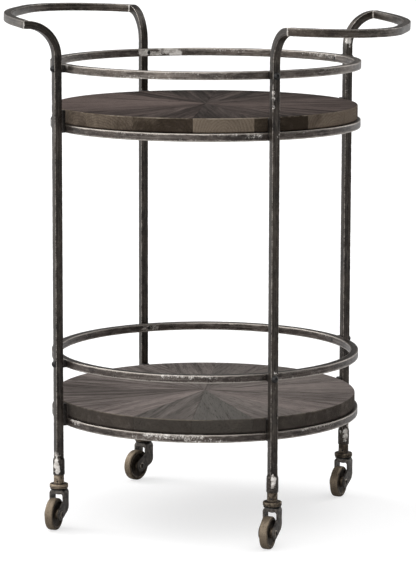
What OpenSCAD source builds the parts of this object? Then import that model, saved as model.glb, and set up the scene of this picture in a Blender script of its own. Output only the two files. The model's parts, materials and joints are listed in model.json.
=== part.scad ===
// Round two-shelf bar cart on four swivel casters.
// Four square-bar legs stand outside four square-bar rings. Two rings are guard rails, two carry shelves.
// Origin: on the floor, on the axis of the rings. +X runs through both handles, -Y is the front, +Z is up.

/* [Bar stock] */
// Side of the square bar that makes legs, rings and handles
bar = 13; // [10:0.5:13]
// Radius of every ring, measured to the middle of its bar
ring_r = 250; // [240:1:270]
// Length of the spacer between a ring's outside and a leg's inside
spacer_len = 6; // [4:0.5:12]

/* [Heights] */
// Middle of the upper guard ring
guard_upper_z = 755.5; // [730:0.5:760]
// Middle of the upper support ring
support_upper_z = 658.5; // [600:0.5:680]
// Middle of the lower guard ring
guard_lower_z = 273; // [260:0.5:320]
// Middle of the lower support ring
support_lower_z = 176.5; // [160:0.5:190]
// Middle of the handle bar where it meets the legs
handle_z = 827.5; // [825:0.5:850]

/* [Legs] */
// Angle of each leg from the X axis
leg_angle = 46.6; // [45:0.1:50]
// Radius of the outward bend at the top of each leg
leg_bend_r = 53; // [42:1:60]

/* [Handles] */
// How far out the front bend's corner lies
corner_front_x = 362.8; // [350:0.2:380]
// How far forward the front bend's corner lies
corner_front_y = 183; // [170:1:190]
// Radius of the front bend
corner_front_r = 167; // [120:1:172]
// How far out the rear bend's corner lies
corner_rear_x = 323.8; // [310:0.2:335]
// How far back the rear bend's corner lies
corner_rear_y = 112.4; // [100:0.2:125]
// Radius of the rear bend
corner_rear_r = 382; // [200:1:400]
// Tilt of the hand-fitted handles: the right one droops and the left one rises
handle_lean = 2.6; // [0:0.1:4]

/* [Shelves] */
// How far a shelf's edge stands inside the outside of its ring
shelf_inset = 5; // [2:0.5:8]
// Thickness of a shelf
shelf_t = 24; // [18:0.5:28]
// Number of wedge boards in a shelf
board_count = 16; // [8:4:24]
// Direction of the first seam between two boards
seam_angle = 7.5; // [5:0.5:10]
// Width of a seam
seam_gap = 0.3; // [0.2:0.1:0.6]

/* [Casters] */
// Wheel radius
wheel_r = 26.5; // [24:0.5:27]
// Tread width
wheel_w = 13.5; // [12:0.5:16]
// How far a wheel trails behind its swivel axis
trail = 21; // [18:0.5:24]
// Turn of each caster as stored: front right, rear right, rear left, front left
caster_turn = [0, -4, -18, 0];

/* [Hidden] */
$fn = 96;

corners = ["fr", "br", "bl", "fl"];
corner_angles = [-leg_angle, leg_angle, 180 - leg_angle, 180 + leg_angle];
first_corner = 0;
last_corner = len(corners) - 1;
levels = ["upper", "lower"];
sides = ["right", "left"];

function corner_nodes(stem) = [for (name = corners) str(stem, "_", name)];
function level_nodes(stem) = [for (name = levels) str(stem, "_", name)];

iron = [0.24, 0.22, 0.21];
dark_iron = [0.14, 0.13, 0.12];
aged_brass = [0.42, 0.36, 0.27];
weathered_wood = [0.33, 0.29, 0.26];

running_gap = 0.05;             // radial clearance of every pin that turns in a bore
far = 400;                      // larger than any piece that is cut
past = 1;                       // how far a cutter runs past the face that it cuts
ring_facets = 180;
fine_facets = 48;

// rings and legs
ring_out_r = ring_r + bar / 2;
ring_in_r = ring_r - bar / 2;
leg_in_r = ring_out_r + spacer_len;
leg_r = leg_in_r + bar / 2;
leg_out_r = leg_in_r + bar;
leg_bend_z = handle_z - leg_bend_r;
shelf_r = ring_out_r - shelf_inset;
guard_z = [guard_upper_z, guard_lower_z];
support_z = [support_upper_z, support_lower_z];
support_block_h = 37;           // a support block reaches up past most of the shelf's edge

// screws through leg, spacer and guard ring
ring_screw_r = 2.5;
ring_screw_hole_r = 2.6;
ring_screw_head_r = 5.8;
ring_screw_head_h = 4.8;
ring_screw_end_r = ring_in_r + 1.5;     // the end lies a little inside the hole

// tabs and wood screws that hold the shelves
tab_angles = [0, 90, 180, 270];
tab_in_r = ring_in_r - 22;
tab_w = 26;
tab_t = 4;
tab_hole_r = 2.4;
tab_screw_at_r = ring_in_r - 12;
wood_screw_r = 1.8;
wood_screw_len = 20;
wood_screw_head_r = 4.2;
wood_screw_head_h = 2.6;
pilot_r = 1.9;
pilot_spare = 1;                // how far the pilot hole runs past the screw's tip
shelf_edge = 1.2;               // small chamfer round the shelf

// leg foot, from the top down
ferrule_r = 10;
ferrule_top_z = 116;
ferrule_z = 88.5;
ferrule_chamfer = 1;
leg_foot_z = 102;
leg_socket_gap = 0.05;
spigot_r = 7;
spigot_h = 7;
spigot_gap = 0.5;               // room above the spigot
neck_r = 8.6;
collar_r = 15.4;
collar_top_z = 73.5;
collar_z = 66.5;
collar_chamfer = 1.4;

// swivel
stem_r = 5;
stem_top_z = 92;
stem_bore_top_z = 93;
groove_r = 4;
groove_h = 3.6;
set_screw_z = 78;
set_screw_r = 1.5;
set_screw_hole_r = 1.6;
set_screw_tip_r = 4.4;
set_screw_angle = -85;
set_screw_recess = 0.4;         // how far the screw's end lies under the neck's face
race_r = 14.2;
race_in_r = 6;
race_z = 64;
race_top_z = 66.3;
stem_head_r = 7.5;
stem_head_h = 3;

// fork
crown_z = 57.5;
fork_top_z = race_z;
plate_in_x = 10;
plate_t = 3;
plate_front_y = -10;
plate_back_y = 11;
plate_knee = [-1, 37];          // middle of the rounded rear corner, as [y, z]
plate_knee_r = 12;
plate_foot_r = 10.5;
axle_r = 3;
axle_head_r = 5.4;
axle_head_h = 3;
axle_head_gap = 0.05;

// wheel profile
hub_r = 8.5;
hub_half = 9.7;
web_half = 5.2;
rim_in_r = 20.5;
tread_edge = 1.6;

bend_steps = 24;

// ---- plan of one handle -------------------------------------------------------------------------

function unit(v) = v / norm(v);
function direction(a) = [cos(a), sin(a)];
function heading(v) = atan2(v[1], v[0]);

handle_end_r = leg_r + leg_bend_r;
handle_front = handle_end_r * direction(-leg_angle);
handle_rear = handle_end_r * direction(leg_angle);
corner_front = [corner_front_x, -corner_front_y];
corner_rear = [corner_rear_x, corner_rear_y];

// Centre of the bend of radius r that rounds corner b
function bend_centre(a, b, c, r) =
    let (half = acos(unit(a - b) * unit(c - b)) / 2)
    b + unit(unit(a - b) + unit(c - b)) * r / sin(half);

front_centre = bend_centre(handle_front, corner_front, corner_rear, corner_front_r);
rear_centre = bend_centre(corner_front, corner_rear, handle_rear, corner_rear_r);
leave_front = unit(corner_front - handle_front);
side_run = unit(corner_rear - corner_front);
leave_rear = unit(corner_rear - handle_rear);

// A leg and a handle meet on the plane that halves their turn, through the handle's end
function mitre_heading(end, leave) = heading(unit(end) + leave);

// Points along a bend, on the circle of radius r, between two headings of the bar
function bend_points(centre, r, heading_in, heading_out) =
    [for (k = [0 : bend_steps])
        centre + r * direction(heading_in - 90 + (heading_out - heading_in) * k / bend_steps)];
function right_of(v) = [v[1], -v[0]];

// One long edge of the bar, offset to the outside of the bends; it runs a little past both mitres
function handle_edge(offset) = concat(
    [handle_front - leave_front * bar + right_of(leave_front) * offset],
    bend_points(front_centre, corner_front_r + offset, heading(leave_front), heading(side_run)),
    bend_points(rear_centre, corner_rear_r + offset, heading(side_run), heading(-leave_rear)),
    [handle_rear - leave_rear * bar + right_of(-leave_rear) * offset]);
function reversed(list) = [for (k = [len(list) - 1 : -1 : 0]) list[k]];

module beyond_mitre(end, leave, flip = false) {
    translate([end[0], end[1], handle_z]) rotate(mitre_heading(end, leave) + (flip ? 180 : 0))
        translate([0, -far / 8, -far / 8]) cube(far / 4);
}

// The bent bar, level, with its middle at z = 0
module handle_bar() {
    translate([0, 0, -bar / 2]) linear_extrude(bar)
        polygon(concat(handle_edge(bar / 2), reversed(handle_edge(-bar / 2))));
}

// The left handle is the right one turned half a turn
module handle(side) {
    lean = side == "right" ? handle_lean : -handle_lean;
    color(iron) rotate(side == "right" ? 0 : 180) difference() {
        translate([handle_front[0], 0, handle_z]) rotate([0, lean, 0])
            translate([-handle_front[0], 0, 0]) handle_bar();
        beyond_mitre(handle_front, leave_front, flip = true);
        beyond_mitre(handle_rear, leave_rear, flip = true);
    }
}

// ---- frame --------------------------------------------------------------------------------------

module dome(r, h) {
    ball_r = (r * r + h * h) / (2 * h);
    intersection() {
        translate([0, 0, h - ball_r]) sphere(ball_r);
        cylinder(r = r, h = h);
    }
}

// Runs a child made along +Z outwards along one corner's radius
module along_radius(angle, z) {
    rotate(angle) translate([0, 0, z]) rotate([0, 90, 0]) children();
}

module ring_screw_hole(angle, z) {
    along_radius(angle, z) translate([0, 0, ring_in_r - past])
        cylinder(r = ring_screw_hole_r, h = leg_out_r - ring_in_r + 2 * past);
}

module leg(i) {
    front_end = i == 0 || i == 2;
    color(iron) difference() {
        rotate(corner_angles[i]) {
            translate([leg_in_r, -bar / 2, leg_foot_z]) cube([bar, bar, leg_bend_z - leg_foot_z]);
            translate([leg_r + leg_bend_r, 0, leg_bend_z]) rotate([90, 0, 0]) rotate(90)
                rotate_extrude(angle = 90) translate([leg_bend_r, 0]) square(bar, center = true);
            translate([handle_end_r, -bar / 2, handle_z - bar / 2]) cube(bar);
        }
        rotate(i < 2 ? 0 : 180)
            beyond_mitre(front_end ? handle_front : handle_rear, front_end ? leave_front : leave_rear);
        for (z = guard_z) ring_screw_hole(corner_angles[i], z);
    }
}

module ring(z) {
    translate([0, 0, z]) rotate_extrude($fn = ring_facets) translate([ring_r, 0]) square(bar, center = true);
}

module guard_ring(level) {
    color(iron) difference() {
        ring(guard_z[level]);
        for (angle = corner_angles) ring_screw_hole(angle, guard_z[level]);
    }
}

module support_ring(level) {
    color(iron) ring(support_z[level]);
}

// A block from the ring's round outside to the leg's flat inside
module spacer(angle, z, h) {
    difference() {
        rotate(angle) translate([ring_r, -bar / 2, z]) cube([leg_in_r - ring_r, bar, h]);
        translate([0, 0, z - past]) cylinder(r = ring_out_r, h = h + 2 * past, $fn = ring_facets);
    }
}

module guard_spacers() {
    color(dark_iron) for (angle = corner_angles, z = guard_z)
        difference() {
            spacer(angle, z - bar / 2, bar);
            ring_screw_hole(angle, z);
        }
}

module support_blocks() {
    color(dark_iron) for (angle = corner_angles, z = support_z)
        spacer(angle, z - bar / 2, support_block_h);
}

module ring_screws() {
    color(dark_iron) for (angle = corner_angles, z = guard_z)
        along_radius(angle, z) {
            translate([0, 0, ring_screw_end_r]) cylinder(r = ring_screw_r, h = leg_out_r - ring_screw_end_r);
            translate([0, 0, leg_out_r]) dome(ring_screw_head_r, ring_screw_head_h);
        }
}

// ---- shelves ------------------------------------------------------------------------------------

module at_tabs(z) {
    for (angle = tab_angles) rotate(angle) translate([tab_screw_at_r, 0, z]) children();
}

module shelf_tabs() {
    color(iron) for (z = support_z) difference() {
        intersection() {
            for (angle = tab_angles) rotate(angle)
                translate([tab_in_r, -tab_w / 2, z + bar / 2 - tab_t]) cube([2 * bar, tab_w, tab_t]);
            translate([0, 0, z]) cylinder(r = ring_in_r, h = bar, $fn = ring_facets);
        }
        at_tabs(z) cylinder(r = tab_hole_r, h = bar);
    }
}

module shelf_screws() {
    color(dark_iron) for (z = support_z) at_tabs(z + bar / 2 - tab_t) {
        cylinder(r = wood_screw_r, h = wood_screw_len);
        rotate([180, 0, 0]) dome(wood_screw_head_r, wood_screw_head_h);
    }
}

// Wedge boards, glued edge to edge
module shelf(level) {
    half_angle = 180 / board_count;
    tip = seam_gap / 2 / sin(half_angle);
    spread = (far - tip) * tan(half_angle);
    shelf_z = support_z[level] + bar / 2;
    color(weathered_wood) for (k = [0 : board_count - 1]) difference() {
        intersection() {
            translate([0, 0, shelf_z]) rotate_extrude($fn = ring_facets)
                polygon([[0, 0], [shelf_r - shelf_edge, 0], [shelf_r, shelf_edge],
                         [shelf_r, shelf_t - shelf_edge], [shelf_r - shelf_edge, shelf_t], [0, shelf_t]]);
            rotate(-seam_angle + (2 * k + 1) * half_angle) translate([0, 0, shelf_z - past])
                linear_extrude(shelf_t + 2 * past) polygon([[tip, 0], [far, -spread], [far, spread]]);
        }
        at_tabs(shelf_z - past) cylinder(r = pilot_r, h = wood_screw_len - tab_t + past + pilot_spare);
    }
}

// ---- leg feet -----------------------------------------------------------------------------------

module at_corner(i, turn = 0) {
    rotate(corner_angles[i]) translate([leg_r, 0, 0]) rotate(turn - corner_angles[i]) children();
}

// Iron sleeve welded round the end of the leg
module ferrule(i) {
    hole = bar + 2 * leg_socket_gap;
    color(iron) at_corner(i) difference() {
        rotate_extrude() polygon([
            [0, ferrule_z], [ferrule_r, ferrule_z], [ferrule_r, ferrule_top_z - ferrule_chamfer],
            [ferrule_r - ferrule_chamfer / 2, ferrule_top_z], [0, ferrule_top_z]]);
        rotate(corner_angles[i]) translate([-hole / 2, -hole / 2, leg_foot_z]) cube([hole, hole, far]);
        translate([0, 0, ferrule_z - past])
            cylinder(r = spigot_r + running_gap, h = spigot_h + spigot_gap + past);
    }
}

// Turned neck and collar that the caster's stem swivels in
module socket(i) {
    color(aged_brass) at_corner(i) difference() {
        rotate_extrude() polygon([
            [0, collar_z], [collar_r - collar_chamfer, collar_z], [collar_r, collar_z + collar_chamfer],
            [collar_r, collar_top_z - collar_chamfer], [collar_r - collar_chamfer, collar_top_z],
            [neck_r, collar_top_z], [neck_r, ferrule_z], [spigot_r, ferrule_z],
            [spigot_r, ferrule_z + spigot_h], [0, ferrule_z + spigot_h]]);
        translate([0, 0, collar_z - past])
            cylinder(r = stem_r + running_gap, h = stem_bore_top_z - collar_z + past);
        translate([0, 0, set_screw_z]) rotate([0, 90, set_screw_angle])
            cylinder(r = set_screw_hole_r, h = neck_r + past, $fn = fine_facets);
    }
}

module set_screws() {
    color(dark_iron) for (i = [first_corner : last_corner]) at_corner(i)
        translate([0, 0, set_screw_z]) rotate([0, 90, set_screw_angle])
            translate([0, 0, set_screw_tip_r])
                cylinder(r = set_screw_r, h = neck_r - set_screw_recess - set_screw_tip_r, $fn = fine_facets);
}

// ---- casters: local -Y is the side the wheel trails to -------------------------------------------

module stem(i) {
    color(aged_brass) at_corner(i) {
        difference() {
            translate([0, 0, crown_z]) cylinder(r = stem_r, h = stem_top_z - crown_z);
            translate([0, 0, set_screw_z - groove_h / 2]) difference() {
                cylinder(r = stem_r + past, h = groove_h);
                translate([0, 0, -past]) cylinder(r = groove_r, h = groove_h + 2 * past);
            }
        }
        translate([0, 0, crown_z]) rotate([180, 0, 0]) dome(stem_head_r, stem_head_h);
    }
}

module race(i) {
    color(dark_iron) at_corner(i) translate([0, 0, race_z]) difference() {
        cylinder(r = race_r, h = race_top_z - race_z);
        translate([0, 0, -past]) cylinder(r = race_in_r, h = race_top_z - race_z + 2 * past);
    }
}

module fork_plate() {
    rotate([90, 0, 90]) linear_extrude(plate_t) {
        translate([plate_front_y, plate_knee[1]])
            square([plate_back_y - plate_front_y, fork_top_z - plate_knee[1]]);
        hull() {
            translate(plate_knee) circle(plate_knee_r);
            translate([-trail, wheel_r]) circle(plate_foot_r);
        }
    }
}

module fork(i) {
    color(aged_brass) at_corner(i, caster_turn[i]) difference() {
        union() {
            translate([plate_in_x, 0, 0]) fork_plate();
            translate([-plate_in_x - plate_t, 0, 0]) fork_plate();
            translate([-plate_in_x, plate_front_y, crown_z])
                cube([2 * plate_in_x, plate_back_y - plate_front_y, fork_top_z - crown_z]);
        }
        translate([0, 0, crown_z - past])
            cylinder(r = stem_r + running_gap, h = fork_top_z - crown_z + 2 * past);
        translate([-far / 2, -trail, wheel_r]) rotate([0, 90, 0])
            cylinder(r = axle_r + running_gap, h = far);
    }
}

// Rivet through both plates, with a round head on each
module axle(i) {
    head_x = plate_in_x + plate_t + axle_head_gap;
    color(aged_brass) at_corner(i, caster_turn[i]) translate([0, -trail, wheel_r]) rotate([0, 90, 0]) {
        translate([0, 0, -head_x]) cylinder(r = axle_r, h = 2 * head_x);
        for (end = [0, 180]) rotate([end, 0, 0]) translate([0, 0, head_x]) dome(axle_head_r, axle_head_h);
    }
}

module wheel(i) {
    half = wheel_w / 2;
    side = [[axle_r + running_gap, hub_half], [hub_r, hub_half], [hub_r, web_half], [rim_in_r, web_half],
            [rim_in_r + 1, half], [wheel_r - tread_edge, half], [wheel_r, half - tread_edge]];
    other_side = [for (point = reversed(side)) [point[0], -point[1]]];
    color(aged_brass) at_corner(i, caster_turn[i]) translate([0, -trail, wheel_r]) rotate([0, 90, 0])
        rotate_extrude() polygon(concat(side, other_side));
}

// ---- nodes --------------------------------------------------------------------------------------

for (i = [first_corner : last_corner]) {
    leg(i);
    ferrule(i);
    socket(i);
    stem(i);
    race(i);
    fork(i);
    axle(i);
    wheel(i);
}
for (side = sides) handle(side);
for (level = [0, 1]) {
    guard_ring(level);
    support_ring(level);
    shelf(level);
}
guard_spacers();
support_blocks();
ring_screws();
shelf_tabs();
shelf_screws();
set_screws();
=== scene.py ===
import json
from math import asin, atan2, copysign, cos, pi, radians, sin, tan

import bmesh
import bpy
from mathutils import Matrix, Vector, noise


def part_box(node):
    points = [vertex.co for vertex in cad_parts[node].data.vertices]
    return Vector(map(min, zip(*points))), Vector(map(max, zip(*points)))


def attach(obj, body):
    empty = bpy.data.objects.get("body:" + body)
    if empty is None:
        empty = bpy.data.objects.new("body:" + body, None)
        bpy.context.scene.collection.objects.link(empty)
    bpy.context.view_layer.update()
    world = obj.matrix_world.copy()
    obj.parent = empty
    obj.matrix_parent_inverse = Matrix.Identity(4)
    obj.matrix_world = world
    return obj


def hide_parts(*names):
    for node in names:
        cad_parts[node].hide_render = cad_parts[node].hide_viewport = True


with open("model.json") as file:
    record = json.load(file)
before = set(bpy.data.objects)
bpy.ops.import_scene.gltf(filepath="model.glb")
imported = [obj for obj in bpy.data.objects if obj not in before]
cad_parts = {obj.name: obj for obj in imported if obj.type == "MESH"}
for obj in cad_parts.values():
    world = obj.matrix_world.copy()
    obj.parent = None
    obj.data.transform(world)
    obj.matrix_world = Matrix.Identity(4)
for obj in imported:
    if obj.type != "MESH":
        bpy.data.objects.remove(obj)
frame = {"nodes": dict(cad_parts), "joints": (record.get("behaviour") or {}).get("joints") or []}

scene = bpy.context.scene
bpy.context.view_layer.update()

MM = 0.001
FULL_TURN = 2 * pi


# ---- what the frame says, in mm ----

def mm_box(node):
    low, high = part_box(node)
    return low / MM, high / MM


JOINTS = {joint["name"]: joint for joint in frame["joints"]}
CORNERS = ("fr", "br", "bl", "fl")
LEVELS = ("upper", "lower")


def joint_place(name):
    return Vector(JOINTS[name]["pos_m"]) / MM


ring_low, ring_high = mm_box("guard_ring_upper")
BAR = ring_high.z - ring_low.z
HALF = BAR / 2
RING_OUT = ring_high.x
RING_R = RING_OUT - HALF
RING_IN = RING_R - HALF
GUARD_Z = {level: sum(corner.z for corner in mm_box("guard_ring_" + level)) / 2 for level in LEVELS}
SUPPORT_Z = {level: sum(corner.z for corner in mm_box("support_ring_" + level)) / 2 for level in LEVELS}
LEG_XY = {corner: joint_place("swivel_" + corner) for corner in CORNERS}
LEG_R = LEG_XY["fr"].xy.length
LEG_IN = LEG_R - HALF
LEG_OUT = LEG_R + HALF
LEG_ANGLE = {corner: atan2(LEG_XY[corner].y, LEG_XY[corner].x) for corner in CORNERS}
LEG_FOOT_Z = mm_box("leg_fr")[0].z
HANDLE_Z = mm_box("leg_fr")[1].z - HALF
SHELF_R = mm_box("shelf_upper")[1].x
FERRULE_Z = mm_box("ferrule_fr")[0].z
SOCKET_Z = mm_box("socket_fr")[0].z
WHEEL_Z = joint_place("roll_fr").z
WHEEL_R = WHEEL_Z

# the rest of the driving sizes, in mm
LEG_BEND_R = 53
CORNER_FRONT = Vector((362.8, -183))
CORNER_FRONT_R = 167
CORNER_REAR = Vector((323.8, 112.4))
CORNER_REAR_R = 382
HANDLE_LEAN = radians(2.6)
HANDLE_END_R = LEG_R + LEG_BEND_R
BOARDS = 16
SEAM_ANGLE = radians(7.5)
SEAM_GAP = 0.3


# ---- building meshes ----

class Shape:
    """Points in mm, faces, and what the material needs to know at each point."""

    def __init__(self):
        self.points, self.faces, self.flow = [], [], []
        self.marks = {"edge": [], "bare": [], "tone": [], "end": []}

    def add(self, points, faces, flow=None, **marks):
        first = len(self.points)
        self.points += points
        self.faces += [[first + index for index in face] for face in faces]
        self.flow += flow if flow else points
        for mark, values in self.marks.items():
            given = marks.get(mark, 0.0)
            values += given if isinstance(given, list) else [given] * len(points)

    def add_work(self, work, points, **marks):
        work.verts.index_update()
        self.add(points, [[vertex.index for vertex in face.verts] for face in work.faces], **marks)
        work.free()

    def build(self, name, material, body, slot, node, smooth=40):
        mesh = bpy.data.meshes.new(name)
        mesh.from_pydata([point * MM for point in self.points], [], self.faces)
        for mark, values in self.marks.items():
            mesh.attributes.new(mark, "FLOAT", "POINT").data.foreach_set("value", values)
        flow = mesh.attributes.new("flow", "FLOAT_VECTOR", "POINT")
        flow.data.foreach_set("vector", [value * MM for point in self.flow for value in point])
        work = bmesh.new()
        work.from_mesh(mesh)
        bmesh.ops.recalc_face_normals(work, faces=work.faces)
        work.to_mesh(mesh)
        work.free()
        mesh.shade_smooth()
        mesh.set_sharp_from_angle(angle=radians(smooth))
        mesh.materials.append(material)
        piece = linked(name, mesh)
        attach(piece, body)
        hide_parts(node)


def grid_faces(rows, columns, wrap_rows=False, wrap_columns=False):
    """Quads between rows of points; each row has the same number of columns."""
    faces = []
    for row in range(rows if wrap_rows else rows - 1):
        for column in range(columns if wrap_columns else columns - 1):
            a, b = row * columns + column, row * columns + (column + 1) % columns
            below = (row + 1) % rows * columns
            faces.append([a, b, below + (column + 1) % columns, below + column])
    return faces


def unit(angle):
    return Vector((cos(angle), sin(angle)))


def right_of(heading):
    return Vector((sin(heading), -cos(heading)))


def linked(name, data):
    thing = bpy.data.objects.new(name, data)
    scene.collection.objects.link(thing)
    return thing


def smoothstep(value):
    value = min(max(value, 0.0), 1.0)
    return value * value * (3 - 2 * value)


def unevenness(place, scale=1.0):
    """Smooth noise, from about 0 to about 1."""
    return 0.5 + 0.5 * noise.noise(place * scale)


def bareness(point, spots):
    """How far the black is ground off here, and where a spot list paints one, how bright a highlight is:
    spots are (centre, radius, strength).
    """
    return max([strength * smoothstep(1.25 * (1 - (point - centre).length / radius))
                for centre, radius, strength in spots] + [0.0])


class Track:
    """A flat run of straights and bends: its points, and a bend radius at each point between the ends."""

    def __init__(self, points, radii):
        self.parts, start = [], Vector(points[0])
        for index, point in enumerate(points[1:], 1):
            point, along = Vector(point), (Vector(point) - Vector(points[index - 1])).normalized()
            heading = atan2(along.y, along.x)
            if index == len(points) - 1:
                self.parts.append(((point - start).length, start, heading, 0, 0))
                break
            after = (Vector(points[index + 1]) - point).normalized()
            turn = atan2(along.x * after.y - along.y * after.x, along.dot(after))
            radius = radii[index - 1]
            tangent = radius * tan(abs(turn) / 2)
            bend_start = point - along * tangent
            self.parts.append(((bend_start - start).length, start, heading, 0, 0))
            self.parts.append((radius * abs(turn), bend_start, heading, radius, copysign(1, turn)))
            start = point + after * tangent
        self.length = sum(part[0] for part in self.parts)

    def at(self, run):
        for index, (length, start, heading, radius, sense) in enumerate(self.parts):
            if run <= length or index == len(self.parts) - 1:
                break
            run -= length
        if not radius:
            return start + unit(heading) * run, heading
        centre = start - right_of(heading) * radius * sense
        heading += sense * run / radius
        return centre + right_of(heading) * radius * sense, heading


EDGE_EASE = 0.85  # radius of the bar's rounded long edges
EDGE_ARC = ((-45, .7), (-15, 1), (15, 1), (45, .7))  # degrees from an edge's middle, nearness to it
SECTION_FLATS = ((.2, .25), (.5, .1), (.8, .25))  # share of a flat side, nearness to an edge


def bar_section():
    """The bar's section as (place, normal, nearness to an edge)."""
    centre, arcs = HALF - EDGE_EASE, []
    for quarter in range(4):
        middle = radians(45 + 90 * quarter)
        corner = Vector((copysign(centre, cos(middle)), copysign(centre, sin(middle))))
        outs = [(unit(middle + radians(turn)), weight) for turn, weight in EDGE_ARC]
        arcs.append([(corner + out * EDGE_EASE, out, weight) for out, weight in outs])
    section = []
    for quarter, arc in enumerate(arcs):
        here, after = arc[-1], arcs[(quarter + 1) % 4][0]
        section += arc + [(here[0].lerp(after[0], share), here[1], weight) for share, weight in SECTION_FLATS]
    return section


SECTION = bar_section()
HAMMER_DEPTH, HAMMER_SCALE = 0.18, 0.075  # hammer marks, all inside the nominal bar
NICK_DEPTH, NICK_SCALE = 0.40, 0.23
NICK_SHIFT = Vector((40, 7, 3))


def forged(point, normal, weight):
    """Moves a point of the bar inwards by its hammer marks, and by nicks at the edges."""
    hammer = min(max(unevenness(point, HAMMER_SCALE), 0), 1)
    nick = max(0.0, noise.noise(point * NICK_SCALE + NICK_SHIFT)) * weight
    return point - normal * (HAMMER_DEPTH * hammer + NICK_DEPTH * nick)


STATION = 3.0  # mm between rows along a bar
END_BLEND = 26.0  # length over which a slanted end is shared out
END_SEARCH = 1.6 * BAR  # how far from its nominal end a slanted end is looked for
END_HALVINGS = 30
SEAM_ROWS = (0.7, 1.5, 2.4)  # extra rows this near a mitred end, for the bright line of the weld
SEAM_W, SEAM_BRIGHT = 1.9, .66
SEAM_REACH = 2 * BAR  # past this from the mitre its plane is only empty space


def line_end(place, u, v, run, plane):
    """Where one long line of the bar meets a plane, near run."""
    point, normal = plane
    low, high = run - END_SEARCH, run + END_SEARCH
    low_side = (place(low, u, v) - point).dot(normal) > 0
    for _ in range(END_HALVINGS):
        middle = (low + high) / 2
        if ((place(middle, u, v) - point).dot(normal) > 0) == low_side:
            low = middle
        else:
            high = middle
    return (low + high) / 2


def sweep(shape, place, length, closed=False, start_plane=None, end_plane=None, spots=()):
    """Runs the bar's section along place(run, u, v)."""
    rows = round(length / STATION)
    runs = [length * row / rows for row in range(rows if closed else rows + 1)]
    runs += [near for near in SEAM_ROWS if start_plane] + [length - near for near in SEAM_ROWS if end_plane]
    runs.sort()
    starts = [line_end(place, u.x, u.y, 0, start_plane) if start_plane else 0 for u, _, _ in SECTION]
    ends = [line_end(place, u.x, u.y, length, end_plane) - length if end_plane else 0 for u, _, _ in SECTION]
    points, flow, edge, bare = [], [], [], []
    for run in runs:
        from_start, to_end = max(0, 1 - run / END_BLEND), max(0, 1 - (length - run) / END_BLEND)
        for (at, out, weight), start, end in zip(SECTION, starts, ends):
            here = run + from_start * start + to_end * end
            point = place(here, at.x, at.y)
            normal = (place(here, at.x + out.x, at.y + out.y) - point).normalized()
            points.append(forged(point, normal, weight))
            flow.append(Vector((here, at.x, at.y)))
            edge.append(weight)
            welds = [SEAM_BRIGHT * smoothstep(1.3 - abs((point - seam).dot(facing)) / SEAM_W)
                     for seam, facing in filter(None, (start_plane, end_plane))
                     if (point - seam).length < SEAM_REACH]
            bare.append(max([bareness(point, spots)] + welds))
    count = len(SECTION)
    faces = grid_faces(len(runs), count, closed, True)
    if not closed:
        faces += [list(range(count)), list(range(len(points) - count, len(points)))]
    shape.add(points, faces, flow, edge=edge, bare=bare)


TURNED_SCALE = 0.33
BLOCK_DENT, BLOCK_SCALE = 0.25, 0.2
BLOCK_CUTS = 3


def lathe(shape, profile, matrix, segments, depth=0.0, **marks):
    """Turns (radius, height) points about the matrix's Z; depth roughens the surface inwards."""
    points, rows = [], []
    for index, (radius, height) in enumerate(profile):
        if radius < 1e-6:
            rows.append([len(points)])
            points.append(matrix @ Vector((0, 0, height)))
            continue
        rows.append(list(range(len(points), len(points) + segments)))
        for step in range(segments):
            angle = FULL_TURN * step / segments
            place = matrix @ Vector((radius * cos(angle), radius * sin(angle), height))
            reach = radius - (depth * unevenness(place, TURNED_SCALE) if depth else 0)
            points.append(matrix @ Vector((reach * cos(angle), reach * sin(angle), height)))
    faces = []
    for low, high in zip(rows, rows[1:]):
        for step in range(segments):
            after = (step + 1) % segments
            face = [row[at % len(row)]
                    for row, at in ((low, step), (low, after), (high, after), (high, step))]
            face = list(dict.fromkeys(face))  # a row on the axis is one point
            if len(face) > 2:
                faces.append(face)
    faces += [end for end in (rows[0], rows[-1]) if len(end) > 1]
    shape.add(points, faces, **marks)


def rounded_block(shape, size, ease, matrix):
    """A box with eased edges and slightly uneven faces, made about the matrix's origin."""
    work = bmesh.new()
    bmesh.ops.create_cube(work, size=1)
    bmesh.ops.scale(work, vec=Vector(size), verts=work.verts)
    bmesh.ops.subdivide_edges(work, edges=work.edges[:], cuts=BLOCK_CUTS, use_grid_fill=True)
    sharp = [edge for edge in work.edges if edge.calc_face_angle(0) > 1]
    bmesh.ops.bevel(work, geom=sharp, offset=ease, segments=3, profile=0.5, affect="EDGES")
    work.normal_update()
    points, edge = [], []
    for vertex in work.verts:
        place = matrix @ vertex.co
        normal = (matrix.to_3x3() @ vertex.normal).normalized()
        points.append(place - normal * BLOCK_DENT * unevenness(place, BLOCK_SCALE))
        outness = sorted(abs(vertex.co[k]) * 2 / size[k] for k in range(3))
        edge.append(smoothstep(max(outness[1] - .8, 0) * 5))
    shape.add_work(work, points, edge=edge)


def dome(radius, height, steps, base):
    """Profile of a round head, from its rim to its top."""
    ball = (radius * radius + height * height) / (2 * height)
    widest = asin(min(1, radius / ball))
    turns = [widest * (1 - step / steps) for step in range(steps + 1)]
    return [(ball * sin(turn), base + height - ball + ball * cos(turn)) for turn in turns]


def polar(radius, angle, z=0.0):
    return Vector((radius * cos(angle), radius * sin(angle), z))


def spun(angle, axis):
    return Matrix.Rotation(angle, 4, axis)


def radial_matrix(angle, radius, z):
    """Local Z points outwards along a corner's radius."""
    return Matrix.Translation(polar(radius, angle, z)) @ spun(angle, "Z") @ spun(pi / 2, "Y")


# ---- materials ----

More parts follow.
